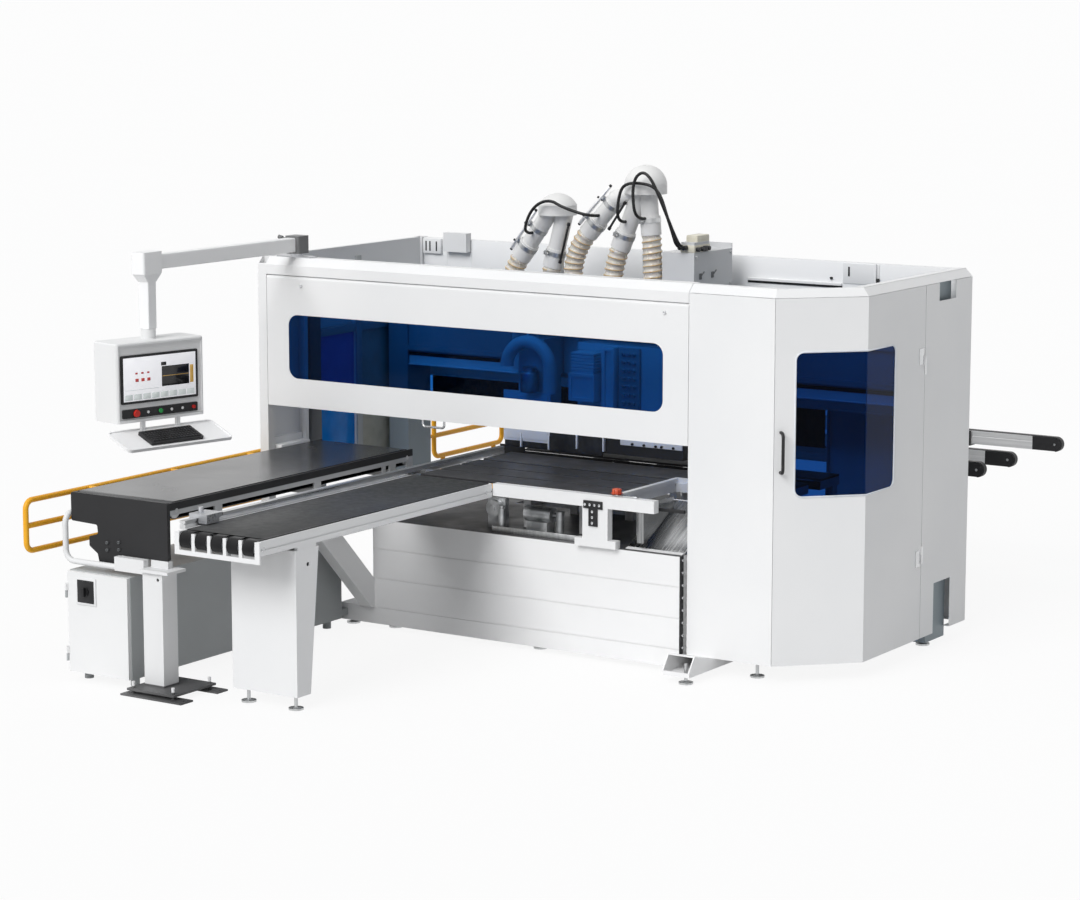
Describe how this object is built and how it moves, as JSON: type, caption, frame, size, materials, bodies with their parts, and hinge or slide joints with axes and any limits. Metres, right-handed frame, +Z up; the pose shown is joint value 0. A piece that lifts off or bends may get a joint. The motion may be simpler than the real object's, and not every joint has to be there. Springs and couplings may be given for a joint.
{
  "type": "cnc drilling machine",
  "caption": "Through-feed CNC drilling machine for furniture panels: lift-hood enclosure, infeed table, return conveyor, swing-arm control pendant and rear outfeed arms.",
  "frame": {"origin": "middle of the machine's footprint, on the floor", "axes": "+X to the right along the lift hood, +Y rearwards along the panel feed, +Z up"},
  "size_m": [3.958, 5.5319, 2.708],
  "materials": {
    "white_panel": "satin powder coat, pale grey-white",
    "grey_frame": "satin grey paint",
    "bed_white": "satin powder coat, pale grey",
    "dark_cover": "fine-textured near-black coat",
    "guard_yellow": "gloss yellow paint",
    "table_charcoal": "hard laminated bed strips, matt charcoal",
    "belt_black": "smooth conveyor belt",
    "roller_steel": "turned steel",
    "machined_steel": "ground steel",
    "fence_aluminium": "drawn profile",
    "handle_chrome": "polished round bar",
    "window_blue": "tinted clear sheet",
    "pendant_grey": "satin pale grey",
    "pendant_black": "black bezel and screen",
    "key_black": "black keyboard",
    "button_red": "red push button",
    "button_green": "green push button",
    "hose_cream": "ribbed extraction hose",
    "pipe_white": "off-white extraction pipe",
    "cable_black": "sheathed cable",
    "foot_steel": "zinc-plated feet",
    "drive_grey": "gear motor housing"
  },
  "bodies": {
    "machine": {"bed_frame": "bed_white", "bed_panels": "bed_white", "levelling_feet": "foot_steel", "corner_posts": "white_panel", "top_lip": "white_panel", "left_wall": "white_panel", "rear_wall": "white_panel", "cabinet_front_panel": "white_panel", "cabinet_end_panel": "white_panel", "door_hinges": "machined_steel", "gantry": "grey_frame", "table_frame": "fence_aluminium", "table_strips": "table_charcoal", "feed_drive": "drive_grey", "infeed_frame": "white_panel", "infeed_deck": "belt_black", "infeed_pedestal": "white_panel", "fence_rail": "fence_aluminium", "conveyor_frame": "fence_aluminium", "conveyor_belt": "belt_black", "conveyor_end_cover": "dark_cover", "conveyor_supports": "white_panel", "electrical_cabinet": "grey_frame", "guard_rails": "guard_yellow", "outfeed_frame": "grey_frame", "outfeed_arms": "fence_aluminium", "outfeed_end_caps": "dark_cover", "arm_pivot": "machined_steel"},
    "hood": {"hood_cover": "white_panel", "hood_window": "window_blue", "hood_handle": "handle_chrome"},
    "cabinet_door": {"door_shell": "white_panel", "door_window": "window_blue", "door_handle": "handle_chrome"},
    "electrical_door": {"electrical_door": "white_panel"},
    "main_switch": {"main_switch": "key_black"},
    "arm": {"swing_arm": "pendant_grey"},
    "pendant": {"pendant_box": "pendant_grey", "pendant_face": "pendant_black", "keyboard_tray": "pendant_grey", "keyboard": "key_black"},
    "emergency_stop": {"emergency_stop": "button_red"},
    "start_button": {"start_button": "button_green"},
    "stop_button": {"stop_button": "button_red"},
    "head": {"head_carriage": "grey_frame", "dust_pipes": "pipe_white", "dust_hoses": "hose_cream", "head_cables": "cable_black"},
    "ram_left": {"ram_left": "machined_steel"},
    "ram_right": {"ram_right": "machined_steel"},
    "spindle_left": {"spindle_left": "roller_steel"},
    "spindle_right": {"spindle_right": "roller_steel"},
    "lower_unit": {"lower_carriage": "machined_steel"},
    "lower_spindle": {"lower_spindle": "roller_steel"},
    "pusher": {"pusher": "machined_steel"},
    "infeed_drive_roller": {"infeed_drive_roller": "roller_steel"},
    "infeed_tail_roller": {"infeed_tail_roller": "roller_steel"},
    "conveyor_drive_drum": {"conveyor_drive_drum": "roller_steel"},
    "conveyor_tail_drum": {"conveyor_tail_drum": "roller_steel"},
    "outfeed_pulleys": {"outfeed_pulleys": "roller_steel"}
  },
  "joints": [
    {"name": "hood_lift", "type": "hinge", "parent": "machine", "child": "hood", "pos_m": [-0.397, -0.556, 2.022], "axis": [-1, 0, 0], "range_deg": [0, 78]},
    {"name": "cabinet_door_swing", "type": "hinge", "parent": "machine", "child": "cabinet_door", "pos_m": [1.9565, 0.486, 1.1], "axis": [0, 0, 1], "range_deg": [0, 100]},
    {"name": "electrical_door_swing", "type": "hinge", "parent": "machine", "child": "electrical_door", "pos_m": [-1.671, -2.58, 0.3], "axis": [0, 0, -1], "range_deg": [0, 100]},
    {"name": "main_switch_turn", "type": "hinge", "parent": "electrical_door", "child": "main_switch", "pos_m": [-1.528, -2.576, 0.508], "axis": [0, -1, 0], "range_deg": [0, 90]},
    {"name": "arm_swing", "type": "hinge", "parent": "machine", "child": "arm", "pos_m": [-1.687, -0.491, 2.2], "axis": [0, 0, 1], "range_deg": [-80, 35]},
    {"name": "pendant_swivel", "type": "hinge", "parent": "arm", "child": "pendant", "pos_m": [-1.687, -1.842, 1.9], "axis": [0, 0, 1], "range_deg": [-90, 90]},
    {"name": "emergency_stop_press", "type": "slide", "parent": "pendant", "child": "emergency_stop", "axis": [-0.9744, 0.225, 0], "range_m": [0, 0.004], "stiffness_N_per_m": 800},
    {"name": "start_button_press", "type": "slide", "parent": "pendant", "child": "start_button", "axis": [-0.9744, 0.225, 0], "range_m": [0, 0.004], "stiffness_N_per_m": 800},
    {"name": "stop_button_press", "type": "slide", "parent": "pendant", "child": "stop_button", "axis": [-0.9744, 0.225, 0], "range_m": [0, 0.004], "stiffness_N_per_m": 800},
    {"name": "head_traverse", "type": "slide", "parent": "machine", "child": "head", "axis": [1, 0, 0], "range_m": [-0.75, 1]},
    {"name": "ram_left_feed", "type": "slide", "parent": "head", "child": "ram_left", "axis": [0, 0, 1], "range_m": [-0.03, 0.09]},
    {"name": "ram_right_feed", "type": "slide", "parent": "head", "child": "ram_right", "axis": [0, 0, 1], "range_m": [-0.03, 0.09]},
    {"name": "spindle_left_spin", "type": "hinge", "parent": "ram_left", "child": "spindle_left", "pos_m": [-0.577, 0.424, 1.1], "axis": [0, 0, 1], "continuous": true},
    {"name": "spindle_right_spin", "type": "hinge", "parent": "ram_right", "child": "spindle_right", "pos_m": [0.053, 0.424, 1.1], "axis": [0, 0, 1], "continuous": true},
    {"name": "lower_unit_traverse", "type": "slide", "parent": "machine", "child": "lower_unit", "axis": [1, 0, 0], "range_m": [-0.43, 0.85]},
    {"name": "lower_spindle_spin", "type": "hinge", "parent": "lower_unit", "child": "lower_spindle", "pos_m": [-0.047, 0.424, 0.89], "axis": [0, 0, 1], "continuous": true},
    {"name": "pusher_travel", "type": "slide", "parent": "machine", "child": "pusher", "axis": [0, 1, 0], "range_m": [0, 2.4]},
    {"name": "infeed_drive_spin", "type": "hinge", "parent": "machine", "child": "infeed_drive_roller", "pos_m": [-0.4665, -2.721, 0.905], "axis": [1, 0, 0], "continuous": true},
    {"name": "infeed_tail_spin", "type": "hinge", "parent": "machine", "child": "infeed_tail_roller", "pos_m": [-0.4665, -0.706, 0.905], "axis": [1, 0, 0], "continuous": true},
    {"name": "conveyor_drive_spin", "type": "hinge", "parent": "machine", "child": "conveyor_drive_drum", "pos_m": [-1.352, -2.426, 0.982], "axis": [1, 0, 0], "continuous": true},
    {"name": "conveyor_tail_spin", "type": "hinge", "parent": "machine", "child": "conveyor_tail_drum", "pos_m": [-1.352, -0.331, 0.982], "axis": [1, 0, 0], "continuous": true},
    {"name": "outfeed_spin", "type": "hinge", "parent": "machine", "child": "outfeed_pulleys", "pos_m": [1.781, 2.024, 0.9], "axis": [0, 1, 0], "continuous": true}
  ],
  "couplings": [
    {"joint": "infeed_tail_spin", "follows": "infeed_drive_spin", "ratio": 1},
    {"joint": "conveyor_tail_spin", "follows": "conveyor_drive_spin", "ratio": 1}
  ]
}
